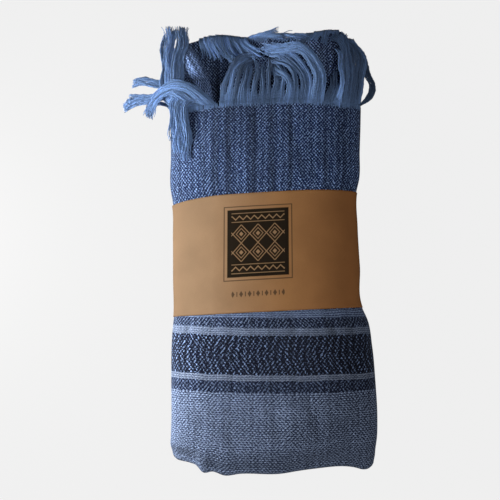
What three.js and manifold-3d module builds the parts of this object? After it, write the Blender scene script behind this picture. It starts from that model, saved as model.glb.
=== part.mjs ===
// A folded kikoy: one woven cotton cloth, folded to a flat bundle and held by a paper band.
//
// Millimetres. The bundle lies on its back: +X right, +Y towards the fringed top, +Z up.
// The origin is under the middle of the band, on the surface that the bundle rests on.
//
// The body is worked out from BODY_ROWS, one cross-section for each row along the cloth. A point of
// the body is given by a row, an angle round the section and an inset from its outer face, so the
// outer ply, the layers inside it and the band outside it follow each other at a constant gap.

import * as THREE from 'three';
import { mergeVertices } from 'three/addons/utils/BufferGeometryUtils.js';
import Module from 'manifold-3d';

const manifold = await Module();
manifold.setup();

// ---------------------------------------------------------------- driving dimensions

const CLOTH_WALL = 1.6;
const PAPER_WALL = 0.5;
const SEAM_GAP = 0.3;

const AROUND = 40;             // facets round the body
const ROUNDNESS = 2.4;         // superellipse power of the upper half
const WAIST = 0.45;            // height of the widest line, as a share of the body's height
const UNDERSIDE_SPREAD = 1.15; // above 1 the underside is flat before the middle
const UNDERSIDE_POWER = 0.667;

// tilt: rise of the row's line towards +X, per mm; edge: how far the row follows BOTTOM_EDGE
// middle, half: centre and half width in X; height: top of the body; lift: gap under the cloth
const BODY_ROWS = [
  { name: 'hem', y: 200, tilt: 0.03, edge: 0, middle: -1.2, half: 109.6, height: 51, lift: 0 },
  { name: 'chest', y: 176, tilt: 0.03, edge: 0, middle: -1.2, half: 108.4, height: 54, lift: 0 },
  { name: 'upper', y: 148, tilt: 0.03, edge: 0, middle: -1.6, half: 107.2, height: 56, lift: 0 },
  { name: 'upper_bulge', y: 113, tilt: 0.05, edge: 0, middle: -2.2, half: 106.2, height: 57.5, lift: 0 },
  { name: 'band_top', y: 99, tilt: 0.06, edge: 0, middle: -2.4, half: 103.4, height: 55, lift: 0.8 },
  { name: 'band_upper', y: 60, tilt: 0.06, edge: 0, middle: -1.8, half: 102.6, height: 54.6, lift: 0.8 },
  { name: 'band_lower', y: 15, tilt: 0.055, edge: 0, middle: -0.6, half: 103, height: 55, lift: 0.8 },
  { name: 'band_bottom', y: -30, tilt: 0.05, edge: 0, middle: 0.9, half: 103.6, height: 56, lift: 0.8 },
  { name: 'lower_bulge', y: -42, tilt: 0.03, edge: 0, middle: 3.3, half: 106.8, height: 59, lift: 0 },
  { name: 'border', y: -66, tilt: 0, edge: 0, middle: 4.8, half: 109.2, height: 61.5, lift: 0 },
  { name: 'border_end', y: -104, tilt: 0, edge: 0, middle: 6.2, half: 110.4, height: 62, lift: 0 },
  { name: 'field', y: -142, tilt: 0, edge: 0, middle: 7.2, half: 110.8, height: 60, lift: 0 },
  { name: 'low_field', y: -164, tilt: 0, edge: 0.15, middle: 6.6, half: 110.8, height: 56, lift: 0 },
  { name: 'above_fold', y: -178, tilt: 0, edge: 0.55, middle: 5.6, half: 110.2, height: 51.5, lift: 0 },
  { name: 'fold_round', y: -185.5, tilt: 0, edge: 0.9, middle: 5.8, half: 109.8, height: 46.5, lift: 0.8 },
  { name: 'fold', y: -191, tilt: 0, edge: 1, middle: 6, half: 109, height: 41, lift: 3 },
];
const BODY_TOP = 0;
const BAND_TOP = 4;
const BAND_BOTTOM = 7;
const CORE_BOTTOM = 14;
const BODY_BOTTOM = 15;

// the bottom fold isn't straight: the offset of its line in Y at places across the cloth
const BOTTOM_EDGE = [
  { x: -112, offset: 14 },
  { x: -97, offset: 10 },
  { x: -83, offset: 8 },
  { x: -76, offset: 5.6 },
  { x: -70, offset: -0.8 },
  { x: -58, offset: -0.4 },
  { x: -46, offset: -4.2 },
  { x: -30, offset: -2.4 },
  { x: 14, offset: -2 },
  { x: 32, offset: 0.8 },
  { x: 48, offset: 2.8 },
  { x: 92, offset: 3.4 },
  { x: 103, offset: 0.4 },
  { x: 118, offset: 3 },
];

// the bottom fold's lip, where the cloth turns in
const LIP_RADIUS = 7;
const LIP_STEPS = 5;

// the layers inside, which show at the two ends as rounded folds
const CORE_INSET = CLOTH_WALL + SEAM_GAP;
const CORE_TOP_SETBACK = 8;      // from the hem to the valleys between the layers
const LAYERS = 6;
const LAYER_RELIEF = 4;
const END_TAPER = 0.92;          // the layers' ends are this much smaller than the core's last ring

// Inner plies that stand out of the top. root_z, edge_z: height of the middle of the wall;
// wave, waves, phase: of the wall, up and down; ripple, ripples, ripple_phase: of its edge, in and out
const INNER_PLIES = [
  {
    name: 'inner_ply_upper', middle: -3, half: 92, reach: 92, slant: 0.02, root_z: 36.5, edge_z: 26,
    wave: 3, waves: 2.5, phase: 0.6, ripple: 3.6, ripples: 1.65, ripple_phase: 4.1,
  },
  {
    name: 'inner_ply_lower', middle: -1, half: 97, reach: 71, slant: 0.03, root_z: 21, edge_z: 11,
    wave: 2.4, waves: 2, phase: 2.4, ripple: 3, ripples: 2.2, ripple_phase: 1,
  },
];
const PLY_ACROSS = 22;
const PLY_ALONG = 4;
const CORE_CREST_Y = BODY_ROWS[BODY_TOP].y - CORE_TOP_SETBACK + LAYER_RELIEF;

// A corner of a ply that is turned up and lies on the upper inner ply as an arched fold.
// x: middle of the section; half: half its width; rise: height of the arch above the ply
const TURNED_CORNER = [
  { y: 205, x: -68, half: 8, rise: 3 },
  { y: 222, x: -72, half: 9.5, rise: 7 },
  { y: 233, x: -76, half: 11, rise: 9.5 },
  { y: 247, x: -83.5, half: 13.5, rise: 11.5 },
  { y: 258, x: -88, half: 12, rise: 11 },
  { y: 267, x: -91.5, half: 9, rise: 8.5 },
  { y: 276, x: -94.5, half: 6, rise: 4 },
];
const CORNER_ACROSS = 8;
const CORNER_REACH = 5;          // a lock that passes the corner this near lies on it

// fringe
const STRIP_DEPTH = 1.8;
const LOCK_STEPS = 8;
const STRIP_STEPS = 24;
const TIP_FULLNESS = 0.55;       // width of a lock's tip, as a share of its width
const ROOT_SWELL = 0.15;         // how far into its swelling a lock starts
const LOCK_THICKNESS = 0.5;      // of a lock, as a share of its width
const LOCK_CLEARANCE = 0.5;      // between a lock and the floor or cloth that it lies on
const BACK_FRINGE_TOP = 3.6;     // the lower inner fringe lies on the back fringe
const FOLDED_BACK_FROM = 244;    // beyond this Y the upper inner fringe lies folded back on its ply
const FOLDED_BACK_DEPTH = 4.2;   // and the front fringe lies on top of it, this far above the ply

// rows of values, each turned into an object whose keys are the columns' names
function table(columns, rows) {
  return rows.map((row) => Object.fromEntries(row.map((value, i) => [columns[i], value])));
}

// Locks laid by hand on the front hem, from left to right.
// at: X of the root; heading: degrees to the right of +Y at the root; turn: degrees turned between
// bend_from and bend_to, which are shares of the length; lift: highest rise; drop: fall of the tip
const FRONT_LOCKS = table(
  ['name', 'at', 'length', 'heading', 'turn', 'bend_from', 'bend_to', 'lift', 'drop', 'width'],
  [
    ['thin_left', -107, 60, -35, -42, 0, 0.3, 0, 16, 5.5],
    ['blunt_low', -103.5, 72, -20, -82, 0.1, 0.4, 0, 16, 9],
    ['blunt_high', -99, 78, -12, -72, 0.28, 0.5, -2, 13, 11.5],
    ['tuft_1', -97, 108, -66, 64, 0.1, 0.3, 0, 12, 7],
    ['tuft_2', -93.5, 112, -68, 67, 0.1, 0.3, 2, 12, 7.5],
    ['tuft_3', -90, 114, -70, 70, 0.1, 0.3, 1, 13, 7.5],
    ['tuft_4', -86.5, 112, -62, 62, 0.1, 0.3, 3, 12, 7.5],
    ['tuft_5', -83, 106, -50, 52, 0.1, 0.3, 1, 12, 8],
    ['hanging_left', -76, 88, -64, -112, 0.12, 0.36, 3, 0, 7],
    ['hanging', -68, 104, -62, -121, 0.1, 0.34, 4, 0, 10],
    ['thread', -50, 26, 4, -8, 0, 1, 0, 3, 3],
    ['right_arch_1', 52, 102, 10, -96, 0.15, 0.78, 12, 2, 8],
    ['right_arch_2', 59, 112, 6, -99, 0.15, 0.78, 14, 2, 7],
    ['bright', 80, 66, 12, -20, 0.1, 0.7, 8, 4, 4.5],
    ['loop_right', 105, 72, 66, -84, 0, 0.5, 0, 12, 6.5],
  ],
);

// Rows of locks. from, to: X of the first and last root; first and last of length, lean and turn:
// at the first and the last lock; vary, sway: unevenness of the lengths in mm and leans in degrees
const LOCK_ROWS = table(
  [
    'node', 'count', 'from', 'to', 'length_first', 'length_last', 'vary', 'width', 'lean_first',
    'lean_last', 'sway', 'turn_first', 'turn_last', 'bend_from', 'bend_to', 'lift', 'drop',
  ],
  [
    ['fringe_front', 4, -82, -60, 68, 98, 0, 6.5, -56, -50, 0, -96, -108, 0.25, 0.85, 9, 14],
    ['fringe_front', 4, -50, -29, 72, 52, 0, 5.6, 8, 4, 0, 60, 34, 0.3, 1, 5, 3],
    ['fringe_front', 6, -22, 15, 50, 52, 2, 5.6, 2, 8, 1, 4, -24, 0.3, 1, 3, 4],
    ['fringe_front', 4, 22, 45, 50, 90, 0, 6.2, 14, 8, 0, -60, -88, 0.15, 0.8, 5, 2],
    ['fringe_front', 3, 65, 75, 34, 48, 0, 4.6, 20, 22, 0, -10, -20, 0.1, 1, 2, 6],
    ['fringe_front', 5, 86, 104, 86, 88, 0, 5.5, 4, 8, 0, -40, -54, 0.5, 1, 2, 9],
    ['fringe_inner_upper', 3, -75, -63, 28, 36, 0, 7.5, 178, 172, 0, -16, -26, 0.1, 0.7, 2, 0],
    ['fringe_inner_upper', 5, -55, -28, 48, 42, 0, 8, 170, 158, 0, -34, -50, 0.1, 0.8, 4, 0],
    ['fringe_inner_upper', 5, -18, 26, 30, 26, 3, 5.6, 72, 78, 0, 22, 16, 0, 1, 3, 3],
    ['fringe_inner_upper', 5, 42, 80, 14, 17, 2, 6.5, 200, 190, 4, 6, 8, 0.1, 1, 1, 0],
    ['fringe_inner_lower', 15, -92, 90, 18, 22, 3, 7, -12, 8, 3, 8, -8, 0.1, 1, 0, 4],
    ['fringe_back', 15, -92, 90, 66, 66, 8, 7, -16, 12, 3, 6, -8, 0.1, 1, 0, 0],
  ],
);

const COLOURS = {
  cloth: 0x4a5f86,
  light_cloth: 0x6f8db8,
  paper: 0xaf9071,
};

// ---------------------------------------------------------------- the body's form

function mix(a, b, share) {
  return a + (b - a) * share;
}

function radians(degrees) {
  return (degrees * Math.PI) / 180;
}

function signedPower(value, power) {
  return Math.sign(value) * Math.abs(value) ** power;
}

function bottomEdge(x) {
  const last = BOTTOM_EDGE.length - 1;
  if (x <= BOTTOM_EDGE[0].x) return BOTTOM_EDGE[0].offset;
  if (x >= BOTTOM_EDGE[last].x) return BOTTOM_EDGE[last].offset;
  const next = BOTTOM_EDGE.findIndex((place) => place.x > x);
  const before = BOTTOM_EDGE[next - 1];
  const after = BOTTOM_EDGE[next];
  return mix(before.offset, after.offset, (x - before.x) / (after.x - before.x));
}

// A point of the body on a row: angle 0 is the right side, a quarter turn is the top.
// past moves it beyond the row along the cloth.
function bodyPoint(row, angle, inset, past = 0) {
  const x = row.middle + (row.half - inset) * signedPower(Math.cos(angle), 2 / ROUNDNESS);
  const y = row.y + row.tilt * x + row.edge * bottomEdge(x) + past;
  const waist = row.height * WAIST;
  const rise = Math.abs(Math.sin(angle));
  if (Math.sin(angle) >= 0) {
    const top = row.height - inset;
    return new THREE.Vector3(x, y, waist + (top - waist) * rise ** (2 / ROUNDNESS));
  }
  const floor = row.lift + inset;
  const spread = Math.min(1, UNDERSIDE_SPREAD * rise ** UNDERSIDE_POWER);
  return new THREE.Vector3(x, y, waist - (waist - floor) * spread);
}

// a row between two rows of the table
function rowAt(y) {
  const next = Math.max(1, BODY_ROWS.findIndex((row) => row.y < y));
  const above = BODY_ROWS[next - 1];
  const below = BODY_ROWS[next];
  const share = (above.y - y) / (above.y - below.y);
  const row = {};
  for (const key of ['y', 'tilt', 'edge', 'middle', 'half', 'height', 'lift']) {
    row[key] = mix(above[key], below[key], share);
  }
  return row;
}

function aroundAngle(step) {
  return (2 * Math.PI * step) / AROUND;
}

// ---------------------------------------------------------------- closed surfaces

function geometryOf(points, triangles) {
  const geometry = new THREE.BufferGeometry();
  const positions = points.flatMap((point) => [point.x, point.y, point.z]);
  geometry.setAttribute('position', new THREE.Float32BufferAttribute(positions, 3));
  geometry.setIndex(triangles.flat());
  return facingOut(geometry);
}

function enclosedVolume(geometry) {
  const position = geometry.getAttribute('position');
  const index = geometry.getIndex();
  const corner = [new THREE.Vector3(), new THREE.Vector3(), new THREE.Vector3()];
  let volume = 0;
  for (let i = 0; i < index.count; i += 3) {
    corner.forEach((point, k) => point.fromBufferAttribute(position, index.getX(i + k)));
    volume += corner[0].dot(corner[1].clone().cross(corner[2])) / 6;
  }
  return volume;
}

function facingOut(geometry) {
  if (enclosedVolume(geometry) >= 0) return geometry;
  const turned = Array.from(geometry.getIndex().array).reverse();
  geometry.setIndex(turned);
  return geometry;
}

// two triangles for each cell between two rings of point numbers
function band(triangles, ring, nextRing, closed) {
  const count = ring.length;
  const cells = closed ? count : count - 1;
  for (let i = 0; i < cells; i += 1) {
    const j = (i + 1) % count;
    triangles.push([ring[i], ring[j], nextRing[j]]);
    triangles.push([ring[i], nextRing[j], nextRing[i]]);
  }
}

// rings of points; with ends they are capped by a fan, without they join up in a loop
function loft(rings, looped) {
  const points = rings.flat();
  const size = rings[0].length;
  const numbers = rings.map((ring, r) => ring.map((_, i) => r * size + i));
  const triangles = [];
  const last = rings.length - 1;
  for (let r = 0; r < last; r += 1) band(triangles, numbers[r], numbers[r + 1], true);
  if (looped) {
    band(triangles, numbers[last], numbers[0], true);
  } else {
    for (let i = 1; i < size - 1; i += 1) {
      triangles.push([numbers[0][0], numbers[0][i + 1], numbers[0][i]]);
      triangles.push([numbers[last][0], numbers[last][i], numbers[last][i + 1]]);
    }
  }
  return geometryOf(points, triangles);
}

// ---------------------------------------------------------------- the outer ply and the band

// the wall's section along the cloth: out, round the lip of the bottom fold, and back inside
function wrapProfile() {
  const profile = BODY_ROWS.map((row) => ({ row, inset: 0, past: 0 }));
  const fold = BODY_ROWS[BODY_BOTTOM];
  const lip = (radius, step) => {
    const turn = (Math.PI * step) / LIP_STEPS;
    return {
      row: fold,
      inset: LIP_RADIUS - radius * Math.cos(turn),
      past: -radius * Math.sin(turn),
    };
  };
  for (let step = 1; step <= LIP_STEPS; step += 1) profile.push(lip(LIP_RADIUS, step));
  for (let step = LIP_STEPS; step >= 1; step -= 1) profile.push(lip(LIP_RADIUS - CLOTH_WALL, step));
  const inside = BODY_ROWS.map((row) => ({ row, inset: CLOTH_WALL, past: 0 }));
  return profile.concat(inside.reverse());
}

function bandProfile() {
  const rows = BODY_ROWS.slice(BAND_TOP, BAND_BOTTOM + 1);
  const outside = rows.map((row) => ({ row, inset: -SEAM_GAP - PAPER_WALL, past: 0 }));
  const inside = rows.map((row) => ({ row, inset: -SEAM_GAP, past: 0 }));
  return outside.concat(inside.reverse());
}

function sweepAround(profile) {
  const rings = profile.map(({ row, inset, past }) => (
    Array.from({ length: AROUND }, (_, step) => bodyPoint(row, aroundAngle(step), inset, past))
  ));
  return loft(rings, true);
}

// ---------------------------------------------------------------- the layers inside

// how far a line of an end face stands out: valleys between layers, rounded in between
function layerRelief(line, fade) {
  return line % 3 === 0 ? 0 : LAYER_RELIEF * fade;
}

// An end face of the core. Each column joins a point of the ring's upper half to the one right
// under it, and is bowed out by the layers; past is -1 at the bottom end and 1 at the top end.
function endFace(points, ring, past) {
  const half = AROUND / 2;
  const lines = 3 * LAYERS;
  const centre = points[ring[0]].clone().lerp(points[ring[half]], 0.5);
  const columns = [];
  const triangles = [];
  for (let column = 1; column < half; column += 1) {
    const low = ring[AROUND - column];
    const high = ring[column];
    const fade = Math.sin((Math.PI * column) / half);
    const numbers = [low];
    for (let line = 1; line < lines; line += 1) {
      const point = points[low].clone().lerp(points[high], line / lines);
      point.y += past * layerRelief(line, fade);
      point.x = mix(centre.x, point.x, END_TAPER);
      point.z = mix(centre.z, point.z, END_TAPER);
      numbers.push(points.length);
      points.push(point);
    }
    numbers.push(high);
    columns.push(numbers);
  }
  for (let c = 0; c < columns.length - 1; c += 1) band(triangles, columns[c], columns[c + 1], false);
  const fan = (apex, column, way) => {
    for (let line = 0; line < lines; line += 1) {
      const pair = [column[line], column[line + 1]];
      triangles.push(way > 0 ? [apex, pair[0], pair[1]] : [apex, pair[1], pair[0]]);
    }
  };
  fan(ring[0], columns[0], -1);
  fan(ring[half], columns[columns.length - 1], 1);
  return triangles;
}

function foldedLayers() {
  const rows = [rowAt(CORE_CREST_Y - LAYER_RELIEF), ...BODY_ROWS.slice(1, CORE_BOTTOM + 1)];
  const points = [];
  const rings = rows.map((row) => (
    Array.from({ length: AROUND }, (_, step) => {
      points.push(bodyPoint(row, aroundAngle(step), CORE_INSET));
      return points.length - 1;
    })
  ));
  const triangles = [];
  for (let r = 0; r < rings.length - 1; r += 1) band(triangles, rings[r], rings[r + 1], true);
  const topFace = endFace(points, rings[0], 1);
  const bottomFace = endFace(points, rings[rings.length - 1], -1);
  const turned = topFace.map(([a, b, c]) => [a, c, b]);
  return geometryOf(points, [...triangles, ...turned, ...bottomFace]);
}

// ---------------------------------------------------------------- the inner plies

// a point of an inner ply: across runs from -1 to 1, along from 0 at its root to 1 at its edge
function plyPoint(ply, across, along, level) {
  const x = ply.middle + ply.half * across;
  const edgeShape = ply.ripple * Math.sin(ply.ripples * Math.PI * across + ply.ripple_phase);
  const rootY = CORE_CREST_Y + SEAM_GAP + BODY_ROWS[BODY_TOP].tilt * x;
  const y = rootY + (ply.reach + ply.slant * x + edgeShape) * along;
  const wave = ply.wave * along * Math.sin(ply.waves * Math.PI * across + ply.phase);
  return new THREE.Vector3(x, y, mix(ply.root_z, ply.edge_z, along) + wave + level);
}

function innerPly(ply) {
  const rings = [];
  for (let a = 0; a <= PLY_ALONG; a += 1) {
    const ring = [];
    for (let c = 0; c <= PLY_ACROSS; c += 1) {
      ring.push(plyPoint(ply, (2 * c) / PLY_ACROSS - 1, a / PLY_ALONG, CLOTH_WALL / 2));
    }
    for (let c = PLY_ACROSS; c >= 0; c -= 1) {
      ring.push(plyPoint(ply, (2 * c) / PLY_ACROSS - 1, a / PLY_ALONG, -CLOTH_WALL / 2));
    }
    rings.push(ring);
  }
  return walledLoft(rings, PLY_ACROSS + 1);
}

// a loft of flat rings whose ends are closed by a ladder between their upper and lower lines
function walledLoft(rings, width) {
  const points = rings.flat();
  const size = rings[0].length;
  const numbers = rings.map((ring, r) => ring.map((_, i) => r * size + i));
  const triangles = [];
  for (let r = 0; r < rings.length - 1; r += 1) band(triangles, numbers[r], numbers[r + 1], true);
  const ladder = (ring, way) => {
    for (let i = 0; i < width - 1; i += 1) {
      const cell = [ring[i], ring[i + 1], ring[size - 2 - i], ring[size - 1 - i]];
      const first = way > 0 ? [cell[0], cell[1], cell[2]] : [cell[0], cell[2], cell[1]];
      const second = way > 0 ? [cell[0], cell[2], cell[3]] : [cell[0], cell[3], cell[2]];
      triangles.push(first, second);
    }
  };
  ladder(numbers[0], -1);
  ladder(numbers[rings.length - 1], 1);
  return geometryOf(points, triangles);
}

// the height of an inner ply's upper face, carried on past its edge, or 0 beside it
function plyTop(ply, x, y) {
  const across = (x - ply.middle) / ply.half;
  if (Math.abs(across) > 1) return 0;
  const root = plyPoint(ply, across, 0, 0);
  const edge = plyPoint(ply, across, 1, 0);
  const along = THREE.MathUtils.clamp((y - root.y) / (edge.y - root.y), 0, 1);
  return plyPoint(ply, across, along, CLOTH_WALL / 2).z;
}

// the arched fold: each ring runs over the arch from left to right and back under it
function turnedCorner() {
  const ply = INNER_PLIES[0];
  const left = ply.middle - ply.half;
  const rings = TURNED_CORNER.map((section) => {
    const over = [];
    const under = [];
    for (let step = 0; step <= CORNER_ACROSS; step += 1) {
      const across = (2 * step) / CORNER_ACROSS - 1;
      const x = section.x + section.half * across;
      const arch = section.rise * Math.sqrt(1 - across * across);
      const z = plyTop(ply, Math.max(x, left), section.y) + SEAM_GAP + arch;
      over.push(new THREE.Vector3(x, section.y, z + CLOTH_WALL));
      under.push(new THREE.Vector3(x, section.y, z));
    }
    return over.concat(under.reverse());
  });
  return walledLoft(rings, CORNER_ACROSS + 1);
}

// the height of the turned corner's upper face, or 0 beside it
function cornerTop(x, y) {
  const next = TURNED_CORNER.findIndex((section) => section.y > y);
  if (next < 1) return 0;
  const [a, b] = [TURNED_CORNER[next - 1], TURNED_CORNER[next]];
  const share = (y - a.y) / (b.y - a.y);
  const across = (x - mix(a.x, b.x, share)) / mix(a.half, b.half, share);
  if (Math.abs(across) > 1) return 0;
  const arch = mix(a.rise, b.rise, share) * Math.sqrt(1 - across * across);
  return plyTop(INNER_PLIES[0], x, y) + SEAM_GAP + arch + CLOTH_WALL;
}

// ---------------------------------------------------------------- fringe

// Where a fringe hangs: a line across the cloth's edge, with the middle of the wall's height.
function hemLine(side) {
  const row = BODY_ROWS[BODY_TOP];
  return (x) => {
    const share = THREE.MathUtils.clamp((x - row.middle) / row.half, -1, 1);
    const cosine = signedPower(share, ROUNDNESS / 2);
    const angle = side * Math.acos(cosine);
    const point = bodyPoint(row, angle, CLOTH_WALL / 2);
    return new THREE.Vector3(x, point.y, point.z);
  };
}

function plyLine(ply) {
  return (x) => plyPoint(ply, (x - ply.middle) / ply.half, 1, 0);
}

// the height of the body's upper face at a place on it, or 0 beside it
function bodyTop(x, y) {
  const row = rowAt(Math.min(y, BODY_ROWS[BODY_TOP].y));
  const across = Math.abs(x - row.middle) / row.half;
  if (across >= 1) return 0;
  const sine = Math.sqrt(1 - across ** ROUNDNESS);
  return row.height * mix(WAIST, 1, sine ** (2 / ROUNDNESS));
}

// what the front fringe lies on: the body, then the upper inner ply, its fringe and its corner
function underFront(x, y) {
  const hem = BODY_ROWS[BODY_TOP];
  if (y < hem.y + hem.tilt * x) return bodyTop(x, y);
  const ply = plyTop(INNER_PLIES[0], x, y);
  const corner = [-CORNER_REACH, 0, CORNER_REACH].map((reach) => cornerTop(x + reach, y));
  return Math.max(y > FOLDED_BACK_FROM ? ply + FOLDED_BACK_DEPTH : ply, ...corner);
}

const EDGES = {
  fringe_front: { line: hemLine(1), from: -107, to: 106, rest: underFront },
  fringe_back: { line: hemLine(-1), from: -96, to: 94, rest: () => 0 },
  fringe_inner_upper: {
    line: plyLine(INNER_PLIES[0]), from: -93, to: 87, rest: (x, y) => plyTop(INNER_PLIES[0], x, y),
  },
  fringe_inner_lower: { line: plyLine(INNER_PLIES[1]), from: -96, to: 94, rest: () => BACK_FRINGE_TOP },
};

// the strip that carries the roots, parted from the cloth's edge
function strip(edge) {
  const rings = [];
  for (let step = 0; step <= STRIP_STEPS; step += 1) {
    const point = edge.line(mix(edge.from, edge.to, step / STRIP_STEPS));
    const near = point.y + SEAM_GAP;
    const thick = CLOTH_WALL / 2;
    rings.push([
      new THREE.Vector3(point.x, near, point.z - thick),
      new THREE.Vector3(point.x, near + STRIP_DEPTH, point.z - thick),
      new THREE.Vector3(point.x, near + STRIP_DEPTH, point.z + thick),
      new THREE.Vector3(point.x, near, point.z + thick),
    ]);
  }
  return loft(rings, false);
}

// a lock that is folded back over the cloth it hangs from first rises straight out of the strip
function foldsBack(lock) {
  return Math.abs(lock.heading) > 90;
}

// a lock's middle line, from inside the strip to its tip
function lockRoute(edge, lock) {
  const root = edge.line(lock.at);
  const point = new THREE.Vector3(root.x, root.y + SEAM_GAP + STRIP_DEPTH / 2, root.z);
  const route = [{ point: point.clone(), heading: radians(lock.heading), share: 0 }];
  const stride = lock.length / LOCK_STEPS;
  const lift = lock.width * LOCK_THICKNESS / 2 + LOCK_CLEARANCE;
  for (let step = 1; step <= LOCK_STEPS; step += 1) {
    const before = (step - 0.5) / LOCK_STEPS;
    const share = step / LOCK_STEPS;
    const bent = THREE.MathUtils.clamp((before - lock.bend_from) / (lock.bend_to - lock.bend_from), 0, 1);
    const heading = radians(lock.heading + lock.turn * bent);
    const travel = step === 1 && foldsBack(lock) ? 0 : stride;
    point.x += travel * Math.sin(heading);
    point.y += travel * Math.cos(heading);
    const rise = lock.lift * Math.sin(Math.PI * share) - lock.drop * share ** 1.6;
    point.z = Math.max(root.z + rise, edge.rest(point.x, point.y) + lift);
    route.push({ point: point.clone(), heading, share });
  }
  return route;
}

// a lock is a four-sided strand, wide at its middle and narrower at its root and tip
function lockBody(edge, lock) {
  const rings = lockRoute(edge, lock).map(({ point, heading, share }) => {
    const fullness = mix(TIP_FULLNESS, 1, Math.sin(Math.PI * mix(ROOT_SWELL, 1, share)));
    const rooted = share === 0;
    const wide = rooted ? STRIP_DEPTH / 2 : (lock.width / 2) * fullness;
    const thick = rooted ? CLOTH_WALL / 3 : lock.width * LOCK_THICKNESS / 2;
    const rootFacing = foldsBack(lock) ? Math.PI : 0;
    const facing = rooted ? rootFacing : heading;
    const side = new THREE.Vector3(Math.cos(facing), -Math.sin(facing), 0);
    const turnedUp = foldsBack(lock) ? Math.max(0, 1 - share * LOCK_STEPS / 2) : 0;
    const up = new THREE.Vector3(0, Math.sin(turnedUp * Math.PI / 2), Math.cos(turnedUp * Math.PI / 2));
    return [
      point.clone().addScaledVector(side, wide),
      point.clone().addScaledVector(up, thick),
      point.clone().addScaledVector(side, -wide),
      point.clone().addScaledVector(up, -thick),
    ];
  });
  return loft(rings, false);
}

// the locks of one row; slow waves make them uneven without letting neighbours cross
function rowLocks(row) {
  return Array.from({ length: row.count }, (_, i) => {
    const share = i / (row.count - 1);
    return {
      ...row,
      at: mix(row.from, row.to, share),
      length: mix(row.length_first, row.length_last, share) + row.vary * Math.sin(2.3 * i + 1),
      heading: mix(row.lean_first, row.lean_last, share) + row.sway * Math.sin(0.9 * i),
      turn: mix(row.turn_first, row.turn_last, share),
    };
  });
}

function solidOf(geometry) {
  const merged = mergeVertices(geometry);
  return new manifold.Manifold(new manifold.Mesh({
    numProp: 3,
    vertProperties: new Float32Array(merged.getAttribute('position').array),
    triVerts: new Uint32Array(merged.getIndex().array),
  }));
}

function joined(geometries) {
  const solid = geometries.map(solidOf).reduce((sum, next) => sum.add(next));
  const mesh = solid.getMesh();
  const geometry = new THREE.BufferGeometry();
  geometry.setAttribute('position', new THREE.BufferAttribute(mesh.vertProperties, 3));
  geometry.setIndex(new THREE.BufferAttribute(mesh.triVerts, 1));
  return geometry;
}

function fringe(node) {
  const edge = EDGES[node];
  const rows = LOCK_ROWS.filter((row) => row.node === node).flatMap(rowLocks);
  const locks = node === 'fringe_front' ? FRONT_LOCKS.concat(rows) : rows;
  return joined([strip(edge), ...locks.map((lock) => lockBody(edge, lock))]);
}

// ---------------------------------------------------------------- the model

function material(colour, roughness) {
  return new THREE.MeshStandardMaterial({ color: colour, roughness, metalness: 0 });
}

function piece(name, geometry, colour, roughness = 0.9) {
  const mesh = new THREE.Mesh(geometry, material(colour, roughness));
  mesh.name = name;
  return mesh;
}

const kikoy = new THREE.Group();
kikoy.add(piece('outer_wrap', sweepAround(wrapProfile()), COLOURS.cloth));
kikoy.add(piece('folded_layers', foldedLayers(), COLOURS.cloth));
kikoy.add(piece('paper_band', sweepAround(bandProfile()), COLOURS.paper, 0.8));
for (const ply of INNER_PLIES) kikoy.add(piece(ply.name, innerPly(ply), COLOURS.cloth));
kikoy.add(piece('turned_corner', turnedCorner(), COLOURS.light_cloth));
for (const node of Object.keys(EDGES)) kikoy.add(piece(node, fringe(node), COLOURS.light_cloth));

export default kikoy;
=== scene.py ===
"""A folded kikoy in a paper band: the looks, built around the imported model.

Sizes are millimetres until a mesh is made, which turns them into metres. The body, the plies and the
turned corner follow the same tables and formulas as the solids, with finer steps. So do the locks of
fringe, apart from a few at the left and right that only the looks change or add.
"""

import math
import random
from functools import partialmethod

import bmesh
import bpy
import numpy as np
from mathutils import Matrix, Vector


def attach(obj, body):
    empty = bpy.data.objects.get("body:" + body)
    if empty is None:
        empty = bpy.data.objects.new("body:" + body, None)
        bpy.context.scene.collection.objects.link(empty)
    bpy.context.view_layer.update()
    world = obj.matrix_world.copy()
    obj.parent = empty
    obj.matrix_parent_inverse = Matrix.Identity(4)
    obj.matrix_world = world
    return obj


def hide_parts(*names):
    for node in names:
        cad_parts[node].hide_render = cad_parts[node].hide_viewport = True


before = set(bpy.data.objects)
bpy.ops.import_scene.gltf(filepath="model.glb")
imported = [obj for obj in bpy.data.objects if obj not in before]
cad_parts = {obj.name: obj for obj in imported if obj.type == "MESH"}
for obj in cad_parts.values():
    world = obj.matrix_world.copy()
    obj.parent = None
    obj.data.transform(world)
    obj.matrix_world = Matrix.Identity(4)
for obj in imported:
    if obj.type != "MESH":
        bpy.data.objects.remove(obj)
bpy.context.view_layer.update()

MM = 0.001
TAU = 2 * math.pi
SEED = 7

# ---------------- the body's form, as in the solids

CLOTH_WALL = 1.4                # the solids' is 1.6
ROUNDNESS = 2.4
WAIST = 0.45
UNDERSIDE_SPREAD = 1.15
UNDERSIDE_POWER = 0.667

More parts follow.
